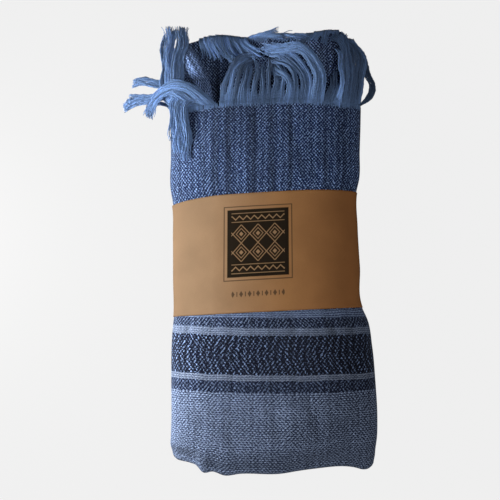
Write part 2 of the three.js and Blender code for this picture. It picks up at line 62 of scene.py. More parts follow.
ROW_KEYS = ("y", "tilt", "edge", "middle", "half", "height", "lift")
BODY_ROWS = [
    (200, 0.03, 0, -1.2, 109.6, 51, 0),
    (176, 0.03, 0, -1.2, 108.4, 54, 0),
    (148, 0.03, 0, -1.6, 107.2, 56, 0),
    (113, 0.05, 0, -2.2, 106.2, 57.5, 0),
    (99, 0.06, 0, -2.4, 103.4, 55, 0.8),
    (60, 0.06, 0, -1.8, 102.6, 54.6, 0.8),
    (15, 0.055, 0, -0.6, 103, 55, 0.8),
    (-30, 0.05, 0, 0.9, 103.6, 56, 0.8),
    (-42, 0.03, 0, 3.3, 106.8, 59, 0),
    (-66, 0, 0, 4.8, 109.2, 61.5, 0),
    (-104, 0, 0, 6.2, 110.4, 62, 0),
    (-142, 0, 0, 7.2, 110.8, 60, 0),
    (-164, 0, 0.15, 6.6, 110.8, 56, 0),
    (-178, 0, 0.55, 5.6, 110.2, 51.5, 0),
    (-185.5, 0, 0.9, 5.8, 109.8, 46.5, 0.8),
    (-191, 0, 1, 6, 109, 41, 3),
]
HEM_Y = BODY_ROWS[0][0]
FOLD_Y = BODY_ROWS[-1][0]
CORE_END_Y = BODY_ROWS[-2][0]
BAND_TOP_Y = 99.0
BAND_BOTTOM_Y = -30.0

# offset of the bottom fold's line in Y, at places across the cloth
BOTTOM_EDGE = [
    (-112, 14), (-97, 10), (-83, 8), (-76, 5.6), (-70, -0.8), (-58, -0.4), (-46, -4.2), (-30, -2.4),
    (14, -2), (32, 0.8), (48, 2.8), (92, 3.4), (103, 0.4), (118, 3),
]
LIP_RADIUS = 7.0

AROUND = 260
CLOTH_STEP = 2.0
GIRTH_Y = 60.0                  # the station where the girth is measured
GIRTH_STEPS = 6000


def hermite(y, places, values):
    """A smooth curve through values at places, which rise."""
    places = np.asarray(places, float)
    values = np.asarray(values, float)
    slopes = np.gradient(values, places)
    i = np.clip(np.searchsorted(places, y) - 1, 0, len(places) - 2)
    width = places[i + 1] - places[i]
    t = np.clip((y - places[i]) / width, 0, 1)
    return (
        values[i] * (1 + 2 * t) * (1 - t) ** 2
        + values[i + 1] * t * t * (3 - 2 * t)
        + slopes[i] * width * t * (1 - t) ** 2
        - slopes[i + 1] * width * t * t * (1 - t)
    )


def row_at(y):
    """The body's row at a station along the cloth, as arrays by key."""
    rows = np.array(BODY_ROWS)[::-1]
    row = {key: hermite(y, rows[:, 0], rows[:, k]) for k, key in enumerate(ROW_KEYS)}
    row["lift"] = np.clip(np.interp(y, rows[:, 0], rows[:, 6]), 0, None)
    return row


def bottom_edge(x):
    places = np.array(BOTTOM_EDGE, float)
    return hermite(x, places[:, 0], places[:, 1])


def summed(values):
    """The sums up to each of the values, from 0."""
    return np.concatenate([[0], np.cumsum(values)])


def signed_power(value, power):
    return np.sign(value) * np.abs(value) ** power


def body_points(y, angle, inset, past=0.0):
    """Points of the body: angle 0 is the right side, a quarter turn is the top."""
    row = row_at(y)
    x = row["middle"] + (row["half"] - inset) * signed_power(np.cos(angle), 2 / ROUNDNESS)
    along = row["y"] + row["tilt"] * x + row["edge"] * bottom_edge(x) + past
    waist = row["height"] * WAIST
    rise = np.abs(np.sin(angle))
    upper = waist + (row["height"] - inset - waist) * rise ** (2 / ROUNDNESS)
    spread = np.minimum(1, UNDERSIDE_SPREAD * rise ** UNDERSIDE_POWER)
    lower = waist - (waist - row["lift"] - inset) * spread
    return np.stack([x, along, np.where(np.sin(angle) >= 0, upper, lower)], axis=-1)


def even_angles(count):
    """Angles evenly spaced along the section's outline, from the middle of the underside, and their run."""
    fine = np.linspace(-math.pi / 2, 1.5 * math.pi, GIRTH_STEPS + 1)
    outline = body_points(np.full_like(fine, GIRTH_Y), fine, 0.0)
    steps = np.linalg.norm(np.diff(outline, axis=0), axis=1)
    length = summed(steps)
    places = np.linspace(0, length[-1], count + 1)[:-1]
    return np.interp(places, length, fine), places


ANGLES, ACROSS = even_angles(AROUND)


def body_top(x, y):
    """The height of the body's upper face, or 0 beside it."""
    row = row_at(np.minimum(y, HEM_Y))
    across = np.abs(x - row["middle"]) / row["half"]
    sine = np.sqrt(np.clip(1 - across ** ROUNDNESS, 0, 1))
    top = row["height"] * (WAIST + (1 - WAIST) * sine ** (2 / ROUNDNESS))
    return np.where(across < 1, top, 0.0)


# ---------------- creases, given one by one

# x, y: middle of the crease; heading: degrees from +Y towards +X; length and width along and across
# it; depth: of the trough, negative for a ridge
CREASE_KEYS = ("x", "y", "heading", "length", "width", "depth")
CREASES = [
    (-72, 158, 4, 74, 8, 1.1), (-38, 140, -3, 90, 9, 0.9),
    (-8, 166, 2, 60, 10, 0.8), (34, 150, -2, 84, 9, 1.2),
    (66, 132, 6, 70, 8, 1), (88, 168, -8, 56, 8, 1.2),
    (-54, 118, -12, 30, 6, 0.9), (8, 119, 8, 26, 6, 0.8),
    (52, 121, -10, 28, 6, 1), (-84, -50, 24, 34, 7, 1.5),
    (-58, -46, 10, 26, 6, 1.2), (-22, -44, -6, 24, 6, 0.8),
    (30, -47, 8, 28, 7, 1), (70, -50, -14, 36, 7, 1.5),
    (96, -56, -26, 34, 7, 1.8), (-70, -150, 12, 70, 11, 1.3),
    (-36, -168, -8, 52, 9, 1.4), (10, -150, 5, 80, 14, 1),
    (48, -138, -4, 90, 12, 1.6), (84, -160, 8, 62, 10, 1.3),
    (98, -186, -24, 28, 7, 1), (30, -186, 14, 26, 7, -0.9),
    (-92, -120, 2, 70, 9, -0.9),
]
CREASE_BOW = 0.08               # how far a crease bows aside, as a share of its length


def smooth_fall(distance):
    """1 at 0, 0 from 1 on."""
    t = np.clip(1 - np.abs(distance), 0, 1)
    return t * t * (3 - 2 * t)


def crease_depth(x, y):
    depth = np.zeros_like(x)
    for values in CREASES:
        c = dict(zip(CREASE_KEYS, values))
        turn = math.radians(c["heading"])
        dx, dy = x - c["x"], y - c["y"]
        along = dx * math.sin(turn) + dy * math.cos(turn)
        across = dx * math.cos(turn) - dy * math.sin(turn)
        bowed = across + CREASE_BOW * c["length"] * np.sin(along / c["length"] * math.pi)
        fall = smooth_fall(along / (c["length"] / 2))
        depth += c["depth"] * fall * np.exp(-((bowed / (c["width"] / 2)) ** 2))
    return depth


# soft unevenness of the whole bundle: long waves whose lengths and phases don't repeat
SWELLS = [
    (0.031, 0.011, 0.4, 0.55),
    (-0.022, 0.034, 1.9, 0.45),
    (0.058, -0.019, 3.1, 0.28),
    (0.017, 0.061, 5.2, 0.25),
]


def swell(x, y):
    return sum(size * np.sin(kx * x + ky * y + phase) for kx, ky, phase, size in SWELLS)


# ---------------- meshes

def new_object(name, points, faces, material, smooth=True):
    mesh = bpy.data.meshes.new(name)
    mesh.from_pydata((np.asarray(points) * MM).reshape(-1, 3).tolist(), [], faces)
    mesh.validate()
    mesh.polygons.foreach_set("use_smooth", [smooth] * len(mesh.polygons))
    mesh.materials.append(material)
    mesh.update()
    piece = bpy.data.objects.new(name, mesh)
    bpy.context.scene.collection.objects.link(piece)
    return piece


def grid_faces(rows, columns, loop_rows=False, loop_columns=False):
    """Quads between the points of a grid that is stored row by row."""
    r = np.arange(rows if loop_rows else rows - 1)
    c = np.arange(columns if loop_columns else columns - 1)
    rr, cc = np.meshgrid(r, c, indexing="ij")
    r2 = (rr + 1) % rows
    c2 = (cc + 1) % columns
    quads = np.stack([rr * columns + cc, rr * columns + c2, r2 * columns + c2, r2 * columns + cc], -1)
    return quads.reshape(-1, 4).tolist()


def flat_tube_faces(rows, columns):
    """Faces of a sheet with a wall: each ring runs across its upper side and back on its lower one."""
    count = 2 * columns
    last = (rows - 1) * count
    faces = grid_faces(rows, count, False, True)
    for c in range(columns - 1):
        near = (c, c + 1, count - 2 - c, count - 1 - c)
        faces.append(tuple(reversed(near)))
        faces.append(tuple(last + i for i in near))
    return faces


def out_and_back(line, upper, lower):
    """A ring's places, out along the line and back, and its level at each of them."""
    return np.concatenate([line, line[::-1]]), np.repeat([upper, lower], len(line))


def face_out(piece):
    """Turns the faces over if the closed mesh's faces point in."""
    form = bmesh.new()
    form.from_mesh(piece.data)
    if form.calc_volume(signed=True) < 0:
        piece.data.flip_normals()
    form.free()


def add_piece(name, node, slot, material, points, faces, **attribute):
    """A closed piece in place of a node; its material reads the three numbers of the named attribute."""
    piece = new_object(name, points, faces, material)
    face_out(piece)
    for key, numbers in attribute.items():
        layer = piece.data.attributes.new(key, "FLOAT_VECTOR", "POINT")
        vectors = np.stack(np.broadcast_arrays(*numbers), -1)
        layer.data.foreach_set("vector", vectors.astype(np.float32).ravel())
    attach(piece, "root")
    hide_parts(node)
    return piece


# ---------------- materials

class Nodes:
    """A material's node tree, with short calls that make a node and give back its output."""

    def __init__(self, name):
        self.material = bpy.data.materials.new(name)
        self.material.use_nodes = True
        self.tree = self.material.node_tree
        self.shader = self.tree.nodes["Principled BSDF"]

    def plug(self, socket, value):
        if isinstance(value, bpy.types.NodeSocket):
            self.tree.links.new(value, socket)
        elif isinstance(value, (tuple, list)) and len(value) == 3 and socket.type == "RGBA":
            socket.default_value = (*value, 1)
        else:
            socket.default_value = value

    def math(self, operation, *values):
        node = self.tree.nodes.new("ShaderNodeMath")
        node.operation = operation
        for socket, value in zip(node.inputs, values):
            self.plug(socket, value)
        return node.outputs[0]

    times = partialmethod(math, "MULTIPLY")
    plus = partialmethod(math, "ADD")
    times_plus = partialmethod(math, "MULTIPLY_ADD")
    minus = partialmethod(math, "SUBTRACT")
    divide = partialmethod(math, "DIVIDE")
    power = partialmethod(math, "POWER")
    maximum = partialmethod(math, "MAXIMUM")
    absolute = partialmethod(math, "ABSOLUTE")
    sine = partialmethod(math, "SINE")
    cosine = partialmethod(math, "COSINE")
    pingpong = partialmethod(math, "PINGPONG")

    def attribute(self, name):
        node = self.tree.nodes.new("ShaderNodeAttribute")
        node.attribute_name = name
        return self.split(node.outputs["Vector"])

    def vector(self, x, y, z=0.0):
        node = self.tree.nodes.new("ShaderNodeCombineXYZ")
        for socket, value in zip(node.inputs, (x, y, z)):
            self.plug(socket, value)
        return node.outputs[0]

    def field_noise(self, u, v, scale_u, scale_v, detail=2.0, roughness=0.55):
        """Noise over a surface; the scales are repeats a millimetre along each way."""
        node = self.tree.nodes.new("ShaderNodeTexNoise")
        self.plug(node.inputs["Vector"], self.vector(self.times(u, scale_u), self.times(v, scale_v)))
        node.inputs["Scale"].default_value = 1.0
        node.inputs["Detail"].default_value = detail
        node.inputs["Roughness"].default_value = roughness
        return node.outputs["Fac"]

    def mix(self, factor, a, b, blend="MIX"):
        node = self.tree.nodes.new("ShaderNodeMix")
        node.data_type = "RGBA"
        node.blend_type = blend
        for number, value in ((0, factor), (6, a), (7, b)):
            self.plug(node.inputs[number], value)
        return node.outputs[2]

    def toned(self, colour, tone):
        return self.mix(1.0, colour, self.vector(tone, tone, tone), "MULTIPLY")

    def span(self, value, low, high, to_low=0.0, to_high=1.0, smooth=False):
        """The value carried from low..high over to to_low..to_high, and held at the ends."""
        node = self.tree.nodes.new("ShaderNodeMapRange")
        node.interpolation_type = "SMOOTHSTEP" if smooth else "LINEAR"
        for socket, v in zip(node.inputs, (value, low, high, to_low, to_high)):
            self.plug(socket, v)
        return node.outputs[0]

    def split(self, vector):
        node = self.tree.nodes.new("ShaderNodeSeparateXYZ")
        self.plug(node.inputs[0], vector)
        return node.outputs[0], node.outputs[1], node.outputs[2]

    def ramp(self, value, reach, stops, interpolation="CONSTANT"):
        """Stops of (place, colour) from -reach to reach. CONSTANT holds each up to the next one."""
        node = self.tree.nodes.new("ShaderNodeValToRGB")
        node.color_ramp.interpolation = interpolation
        elements = node.color_ramp.elements
        while len(elements) < len(stops):
            elements.new(0.5)
        for element, (place, colour) in zip(elements, stops):
            element.position = (place + reach) / (2 * reach)
            element.color = (*colour, 1)
        self.plug(node.inputs[0], self.span(value, -reach, reach))
        return node.outputs[0]

    def bump(self, height, distance, strength=1.0):
        node = self.tree.nodes.new("ShaderNodeBump")
        node.inputs["Strength"].default_value = strength
        node.inputs["Distance"].default_value = distance
        self.plug(node.inputs["Height"], height)
        self.plug(self.shader.inputs["Normal"], node.outputs[0])

    def set(self, **values):
        for key, value in values.items():
            self.plug(self.shader.inputs[key.replace("_", " ")], value)


# The woven stripes from the bottom fold to the hem, in mm. start: Y of the stripe's lower edge;
# ground and figure: the two yarns' colours; across, along: the repeat of the checkerboard of floats;
# ribs, rib: strength and repeat of lines across the cloth; columns, column: the same along it;
# turns, soft: the level where the ground turns into the figure, and how softly; chevron: lean of columns
STRIPE_KEYS = (
    "start", "ground", "figure", "across", "along", "ribs", "rib", "columns", "column",
    "turns", "soft", "chevron",
)
STRIPES = [dict(zip(STRIPE_KEYS, values)) for values in (
    (-260.0, (0.02, 0.032, 0.08), (0.41, 0.54, 0.83), 3.7, 4.3, 0.7, 2.3, 0.1, 6.9, 0.35, 1.1, 0.0),
    (-112.8, (0.002, 0.006, 0.028), (0.24, 0.34, 0.58), 3.7, 4.8, 0, 4, 0.2, 7.4, 0.7, 0.6, 0.0),
    (-100.9, (0.05, 0.075, 0.14), (0.32, 0.395, 0.56), 3.5, 3.1, 1.0, 2.2, 0, 4, 0.0, 1.5, 0.0),
    (-93.9, (0.001, 0.003, 0.016), (0.37, 0.54, 0.94), 3.8, 5.2, 0, 4, 0.35, 7.0, 1.0, 0.35, 0.25),
    (-53.5, (0.05, 0.075, 0.14), (0.29, 0.365, 0.53), 3.5, 3.1, 1.0, 2.2, 0, 4, 0.0, 1.5, 0.0),
    (-44.7, (0.002, 0.006, 0.028), (0.28, 0.39, 0.64), 3.7, 4.8, 0, 4, 0.2, 7.4, 0.75, 0.6, 0.0),
    (-34.8, (0.04, 0.06, 0.13), (0.24, 0.33, 0.53), 3.5, 3.1, 1.4, 2.2, 0, 4, 0.1, 1.5, 0.0),
    (-28.0, (0.003, 0.010, 0.045), (0.265, 0.41, 0.73), 3.45, 4.35, 0, 4, 0.16, 7.4, 0.8, 0.6, 0.0),
)]
UPPER_FIELD = STRIPES[-1]
# painted light: a lighter copy of the upper field's weave, which offsets the shade that the inner plies and
# layers lie in
PLY_WEAVE_PAINTED_LIGHT = {**UPPER_FIELD, "figure": (0.36, 0.54, 0.92)}
CORNER_WEAVE = {
    **UPPER_FIELD, "across": 4.2, "along": 5.0, "columns": 0.0, "turns": 0.2, "soft": 0.5,
    "ground": (0.018, 0.04, 0.12), "figure": (0.27, 0.41, 0.74),
}
YARN_COLOUR = (0.205, 0.355, 0.68)
YARN_TWIST = 1.7                # mm a turn
DARK_BAND_MIDDLE = -74.0
STRIPE_REACH = 260.0
STRIPE_SAG = 2.4                # mm that the stripes' middle hangs below their ends
BAND_SLANT = 0.04               # the body's rows slant next to the band, and the stripes don't
NUMBER_REACH = 10.0             # a ramp holds numbers from minus this up to this
FUZZ, GRAIN = 6.2, 4.8          # strength of the noise against the checkerboard's 1
WANDER_ACROSS, WANDER_ALONG = 3.4, 2.6

# streaks in the warp of the upper field: X and tone, from left to right
WARP_TONES = [
    (-112, 0.92), (-90, 1.06), (-76, 1.2), (-70, 0.94), (-64, 1.14), (-57, 0.84), (-51, 1.14),
    (-42, 0.78), (-36, 1.06), (-24, 1.12), (-16, 0.78), (-9, 1.14), (0, 1.04), (5, 0.8),
    (11, 1.12), (20, 1.08), (25, 0.82), (31, 1.22), (46, 1.06), (54, 1.28), (64, 0.94),
    (72, 1.1), (84, 0.88), (96, 1.08), (112, 0.9),
]
TONE_REACH = 120.0


def stripe_ramp(n, along, value_of):
    return n.ramp(along, STRIPE_REACH, [(s["start"], value_of(s)) for s in STRIPES])


def stripe_numbers(n, along, keys):
    """Three of the stripes' numbers at a place, which the ramp holds as a colour."""
    def colour(stripe):
        return tuple((stripe[key] + NUMBER_REACH) / (2 * NUMBER_REACH) for key in keys)

    parts = n.split(stripe_ramp(n, along, colour))
    return [n.times_plus(part, 2 * NUMBER_REACH, -NUMBER_REACH) for part in parts]


def stripe_weave(n, along):
    """The weave of the stripe at a place: its two colours and its numbers."""
    weave = {key: stripe_ramp(n, along, lambda s: s[key]) for key in ("ground", "figure")}
    for first in (3, 6, 9):
        keys = STRIPE_KEYS[first:first + 3]
        weave.update(zip(keys, stripe_numbers(n, along, keys)))
    return weave


def warp_tone_and_painted_light(n, x, along):
    """Darker and lighter warp streaks, strong in the upper field and faint in the lower one, times painted
    shade and light: the lower field darker and the upper field lighter towards the right.
    """
    stops = [(place, (tone,) * 3) for place, tone in WARP_TONES]
    tone = n.ramp(x, TONE_REACH, stops, "LINEAR")
    strength = n.span(along, -60.0, 60.0, 0.25, 1.9)
    streaks = n.times_plus(n.minus(tone, 1.0), strength, 1.0)
    # painted shade on the lower field, darker towards the right, and painted light on the upper field,
    # lighter towards the right
    low = n.times(n.span(x, -110.0, 40.0, 0.0, -0.42), n.span(along, 60.0, -60.0))
    high = n.times(n.span(x, -20.0, 100.0, 0.0, 0.32), n.span(along, -60.0, 60.0))
    return n.times(streaks, n.plus(n.plus(low, high), 1.0))


def phase(n, place, repeat):
    return n.times(n.divide(place, repeat), TAU)


def ridges(n, place, repeat, strength):
    return n.times(n.cosine(phase(n, place, repeat)), strength)


def floats_of(n, u, v, x, w):
    """The height of the light yarn: a checkerboard that leans to one side, with ribs and columns."""
    a = phase(n, u, w["across"])
    b = phase(n, v, w["along"])
    falling = n.cosine(n.plus(a, b))
    rising = n.cosine(n.minus(a, b))
    wander = n.span(n.field_noise(u, v, 0.04, 0.04), 0.3, 0.7, -0.3, 0.3)
    lean = n.plus(n.span(x, -100.0, 100.0, 0.58, 0.46), wander)
    board = n.minus(n.times(falling, lean), n.times(rising, n.minus(1.0, lean)))
    bent = n.absolute(n.minus(v, DARK_BAND_MIDDLE))
    leaning = n.times_plus(bent, w["chevron"], u)
    columns = ridges(n, leaning, w["column"], w["columns"])
    ribs = ridges(n, v, w["rib"], w["ribs"])
    fuzz = n.minus(n.field_noise(u, v, 0.45, 0.5, 3, 0.85), 0.5)
    grain = n.minus(n.field_noise(v, u, 1.1, 1.1, 1, 0.8), 0.5)
    regular = n.times_plus(grain, GRAIN, n.plus(board, n.plus(columns, ribs)))
    return n.times_plus(fuzz, FUZZ, regular)


def stripe_bend(n, x, along):
    """How far the stripes leave the body's rows: they sag in the middle, and are level at the band."""
    ends = n.power(n.times(n.minus(x, 8.0), 0.01), 2.0)
    sag = n.times(n.minus(1.0, ends), STRIPE_SAG)
    return n.times_plus(x, n.span(along, -62.0, -40.0, 0.0, BAND_SLANT), sag)


def yarn_tone(n, u, v):
    """Lighter and darker yarns, with slubs in the weft and wide soft patches."""
    yarn = n.field_noise(u, v, 0.62, 0.006)
    slub = n.field_noise(u, v, 0.012, 0.5, 3)
    patch = n.field_noise(u, v, 0.022, 0.018, 3)
    tone = n.times(n.span(yarn, 0.3, 0.7, 0.74, 1.26), n.span(slub, 0.25, 0.75, 0.86, 1.14))
    return n.times(tone, n.span(patch, 0.3, 0.7, 0.88, 1.12))


def woven_cloth(name, striped=True, weave=UPPER_FIELD):
    """Handwoven cotton: light floats in a checkerboard over a dark warp, with slubs and streaks."""
    n = Nodes(name)
    across, along, x = n.attribute("weave")
    drift = n.minus(n.field_noise(across, along, 0.055, 0.05), 0.5)
    sway = n.minus(n.field_noise(along, across, 0.045, 0.06), 0.5)
    u = n.times_plus(drift, WANDER_ACROSS, across)
    v = n.times_plus(sway, WANDER_ALONG, along)
    if striped:
        v = n.plus(v, stripe_bend(n, x, along))
        weave = stripe_weave(n, v)
    floats = floats_of(n, u, v, x, weave)
    # painted shade: the weave's contrast grows towards the right, standing in for deeper shade between the
    # yarns there
    painted_shade_contrast = n.span(x, -100.0, 100.0, 0.62, 1.3)
    level = n.times(n.minus(floats, weave["turns"]), painted_shade_contrast)
    share = n.span(n.divide(level, weave["soft"]), -1.0, 1.0, smooth=True)
    colour = n.mix(share, weave["ground"], weave["figure"])
    colour = n.toned(colour, n.times(yarn_tone(n, u, v), warp_tone_and_painted_light(n, x, along)))
    n.set(Base_Color=colour, Roughness=0.88, Sheen_Weight=0.12, Sheen_Roughness=0.5)
    n.set(Specular_IOR_Level=0.15)
    n.shader.inputs["Sheen Tint"].default_value = (0.6, 0.72, 1.0, 1)
    n.bump(floats, 0.0004, 0.6)
    return n.material


def yarn_cotton(name, colour):
    """Soft-spun yarn; the strand attribute holds its tint, the place along it and a random number."""
    n = Nodes(name)
    tint, along, chance = n.attribute("strand")
    twist = n.sine(n.times(n.times_plus(chance, 9.0, along), TAU / YARN_TWIST))
    fuzz = n.field_noise(along, chance, 0.5, 31.0, 3, 0.6)
    tone = n.times(tint, n.span(fuzz, 0.25, 0.75, 0.8, 1.2))
    # painted light and shade: the twist's ridges are painted lighter and its grooves darker, along with the
    # bump
    tone = n.times(tone, n.span(twist, -1, 1, 0.86, 1.1))
    n.set(Base_Color=n.toned(colour, tone))
    n.set(Roughness=0.85, Sheen_Weight=0.1, Sheen_Roughness=0.4, Specular_IOR_Level=0.15)
    n.bump(twist, 0.0003)
    return n.material


# ---------------- the outer ply

LIP_STATIONS = 9
INSIDE_STATIONS = 24
HELD_REACH = 90.0               # from the paper band's middle to where the cloth isn't held at all
HELD_FLAT = 0.9                 # share of the creases that the band presses flat at its middle


def wrap_profile():
    """The wall's section along the cloth: stations of (y, inset, past, along)."""
    def lip(radius, turns):
        return [
            (FOLD_Y, LIP_RADIUS - radius * math.cos(t), -radius * math.sin(t), FOLD_Y - LIP_RADIUS * t)
            for t in turns
        ]

    steps = round((HEM_Y - FOLD_Y) / CLOTH_STEP)
    turns = np.linspace(0, math.pi, LIP_STATIONS)
    outside = [(y, 0.0, 0.0, y) for y in np.linspace(HEM_Y, FOLD_Y, steps + 1)]
    inside = [(y, CLOTH_WALL, 0.0, y) for y in np.linspace(FOLD_Y, HEM_Y, INSIDE_STATIONS)]
    curl = lip(LIP_RADIUS, turns[1:]) + lip(LIP_RADIUS - CLOTH_WALL, turns[:0:-1])
    return np.array(outside + curl + inside)


def outer_ply(material):
    y, inset, past, along = (column[:, None] for column in wrap_profile().T)
    points = body_points(y, ANGLES, inset, past)
    x = points[..., 0]
    held = smooth_fall((y - (BAND_TOP_Y + BAND_BOTTOM_Y) / 2) / HELD_REACH)
    reach = np.clip(np.sin(ANGLES) * 1.6, 0, 1) * (1 - HELD_FLAT * held)
    points[..., 2] -= reach * (crease_depth(x, points[..., 1]) - swell(x, points[..., 1]))
    faces = grid_faces(len(y), AROUND, True, True)
    return add_piece("wrap_cloth", "outer_wrap", "cloth", material, points, faces, weave=(ACROSS, along, x))


# ---------------- the layers inside

CORE_INSET = 1.9
CORE_TOP_SETBACK = 8.0
LAYERS = 6
LAYER_RELIEF = 4.0
END_TAPER = 0.92
CORE_CREST_Y = HEM_Y - CORE_TOP_SETBACK + LAYER_RELIEF
CORE_STATIONS, CORE_COLUMNS = 60, 72
LINES_A_LAYER = 8
LAYER_WANDER = 0.7


def end_face(points, first, ring_size, past):
    """The layered end of the core: a column of points for each place across, bowed out by the layers."""
    half = ring_size // 2
    lines = LAYERS * LINES_A_LAYER
    ring = np.arange(first, first + ring_size)
    centre = (points[ring[0]] + points[ring[half]]) / 2
    columns, faces = [], []
    for column in range(1, half):
        low, high = ring[ring_size - column], ring[column]
        fade = math.sin(math.pi * column / half)
        numbers = [low]
        for line in range(1, lines):
            share = line / lines
            point = points[low] * (1 - share) + points[high] * share
            bow = abs(math.sin(math.pi * LAYERS * share)) ** 0.5
            wander = LAYER_WANDER * math.sin(0.21 * column + 5.0 * math.floor(share * LAYERS))
            point[1] += past * (LAYER_RELIEF + wander) * fade * bow
            point[0] = centre[0] + (point[0] - centre[0]) * END_TAPER
            point[2] = centre[2] + (point[2] - centre[2]) * END_TAPER
            numbers.append(len(points))
            points.append(point)
        numbers.append(high)
        columns.append(numbers)
    for left, right in zip(columns, columns[1:]):
        for line in range(lines):
            faces.append((left[line], left[line + 1], right[line + 1], right[line]))
    for line in range(lines):
        faces.append((ring[0], columns[0][line + 1], columns[0][line]))
        faces.append((ring[half], columns[-1][line], columns[-1][line + 1]))
    return faces if past < 0 else [tuple(reversed(face)) for face in faces]


def layers_inside(material):
    stations = np.linspace(HEM_Y - CORE_TOP_SETBACK, CORE_END_Y, CORE_STATIONS)
    angles = np.linspace(0, TAU, 2 * CORE_COLUMNS + 1)[:-1]
    points = list(body_points(stations[:, None], angles, CORE_INSET).reshape(-1, 3))
    size = len(angles)
    faces = grid_faces(CORE_STATIONS, size, False, True)
    faces += end_face(points, 0, size, 1)
    faces += end_face(points, (CORE_STATIONS - 1) * size, size, -1)
    x, y, z = np.array(points).T
    add_piece("core_layers", "folded_layers", "cloth", material, points, faces, weave=(x, y + z, x))


# ---------------- the inner plies

INNER_PLIES = {
    "inner_ply_upper": {
        "middle": -3, "half": 92, "reach": 92, "slant": 0.02, "root_z": 36.5, "edge_z": 26,
        "wave": 3, "waves": 2.5, "phase": 0.6, "ripple": 3.6, "ripples": 1.65, "ripple_phase": 4.1,
    },
    "inner_ply_lower": {
        "middle": -1, "half": 97, "reach": 71, "slant": 0.03, "root_z": 21, "edge_z": 11,
        "wave": 2.4, "waves": 2, "phase": 2.4, "ripple": 3, "ripples": 2.2, "ripple_phase": 1,
    },
}
SEAM_GAP = 0.3
HEM_TILT = 0.03
PLY_COLUMNS, PLY_ROWS = 130, 40
PLY_RIPPLE = 0.45


def ply_points(ply, across, along, level=0.0):
    """Points of an inner ply: across runs from -1 to 1, along from 0 at its root to 1 at its edge."""
    x = ply["middle"] + ply["half"] * across
    root_y = CORE_CREST_Y + SEAM_GAP + HEM_TILT * x
    ripple = ply["ripple"] * np.sin(ply["ripples"] * math.pi * across + ply["ripple_phase"])
    y = root_y + (ply["reach"] + ply["slant"] * x + ripple) * along
    wave = ply["wave"] * along * np.sin(ply["waves"] * math.pi * across + ply["phase"])
    z = ply["root_z"] + (ply["edge_z"] - ply["root_z"]) * along + wave + level
    return np.stack([x, y, z], -1)


def ply_top(ply, x, y):
    across = (x - ply["middle"]) / ply["half"]
    inside = np.abs(across) <= 1
    across = np.clip(across, -1, 1)
    root = ply_points(ply, across, 0.0 * across)
    edge = ply_points(ply, across, 0.0 * across + 1)
    along = np.clip((y - root[..., 1]) / (edge[..., 1] - root[..., 1]), 0, 1)
    return np.where(inside, ply_points(ply, across, along, CLOTH_WALL / 2)[..., 2], 0.0)


def inner_ply(name, material):
    ply = INNER_PLIES[name]
    ring, level = out_and_back(np.linspace(-1, 1, PLY_COLUMNS), CLOTH_WALL / 2, -CLOTH_WALL / 2)
    along, across = np.meshgrid(np.linspace(0, 1, PLY_ROWS), ring, indexing="ij")
    points = ply_points(ply, across, along, level[None, :])
    points[..., 2] += PLY_RIPPLE * np.sin(across * 31 + 2 * along) * np.sin(across * 13 + 4) * along
    faces = flat_tube_faces(PLY_ROWS, PLY_COLUMNS)
    x, y = points[..., 0], points[..., 1]
    return add_piece(name + "_cloth", name, "cloth", material, points, faces, weave=(x, y, x))


# ---------------- the turned corner

# y, x: middle of the section; half: half its width; rise: height of the arch above the upper ply
CORNER_KEYS = ("y", "x", "half", "rise")
TURNED_CORNER = [
    (205, -68, 8, 3),
    (222, -72, 9.5, 7),
    (233, -76, 11, 9.5),
    (247, -83.5, 13.5, 11.5),
    (258, -88, 12, 11),
    (267, -91.5, 9, 8.5),
    (276, -94.5, 6, 4),
]
CORNER_REACH = 1.5              # how near beside the corner the front yarns rise onto it
CORNER_COLUMNS, CORNER_ROWS = 40, 34
CORNER_PLEAT = 0.5
CORNER_SWEEP = 15.0             # mm of weave over half of the arch


def corner_at(y):
    rows = np.array(TURNED_CORNER, float)
    return {key: np.interp(y, rows[:, 0], rows[:, k]) for k, key in enumerate(CORNER_KEYS)}


def corner_top(x, y):
    """The height of the turned corner's upper face, or 0 beside it."""
    row = corner_at(y)
    across = (x - row["x"]) / row["half"]
    arch = row["rise"] * np.sqrt(np.clip(1 - across ** 2, 0, 1))
    top = ply_top(INNER_PLIES["inner_ply_upper"], x, y) + SEAM_GAP + arch + CLOTH_WALL
    inside = (np.abs(across) <= 1) & (y > TURNED_CORNER[0][0]) & (y < TURNED_CORNER[-1][0])
    return np.where(inside, top, 0.0)


def turned_corner(material):
    """An arched fold of cloth: over from left to right, and back on its inner face."""
    ply = INNER_PLIES["inner_ply_upper"]
    stations = np.linspace(TURNED_CORNER[0][0], TURNED_CORNER[-1][0], CORNER_ROWS)
    line, wall = out_and_back(np.linspace(-1, 1, CORNER_COLUMNS), CLOTH_WALL, 0.0)
    y, across = np.meshgrid(stations, line, indexing="ij")
    row = corner_at(y)
    x = row["x"] + row["half"] * across
    arch = row["rise"] * np.sqrt(1 - across ** 2)
    under = ply_top(ply, np.maximum(x, ply["middle"] - ply["half"]), y)
    pleat = CORNER_PLEAT * np.sin(9 * across + 0.06 * y) * (1 - across ** 2)
    z = under + SEAM_GAP + arch + wall[None, :] + pleat
    points = np.stack([x, y, z], -1)
    faces = flat_tube_faces(CORNER_ROWS, CORNER_COLUMNS)
    return add_piece("turned_corner_cloth", "turned_corner", "cloth", material, points, faces,
                     weave=(across * CORNER_SWEEP, y, x))


# ---------------- fringe

STRIP_DEPTH = 1.8
YARN_RADIUS = 0.5
YARN_SIDES = 3
YARN_STEP = 3.3
ROOT_OVERLAP = 2.4              # the yarns leave the weave this far before the hem
GATHER_LENGTH = 24.0            # and have gathered into their lock after this length
LOCK_THICKNESS = 0.5            # of a lock, as a share of its width
LOCK_CLEARANCE = 0.5
LOCK_WANDER = 2.2
WANDER_LENGTH = (36, 54)
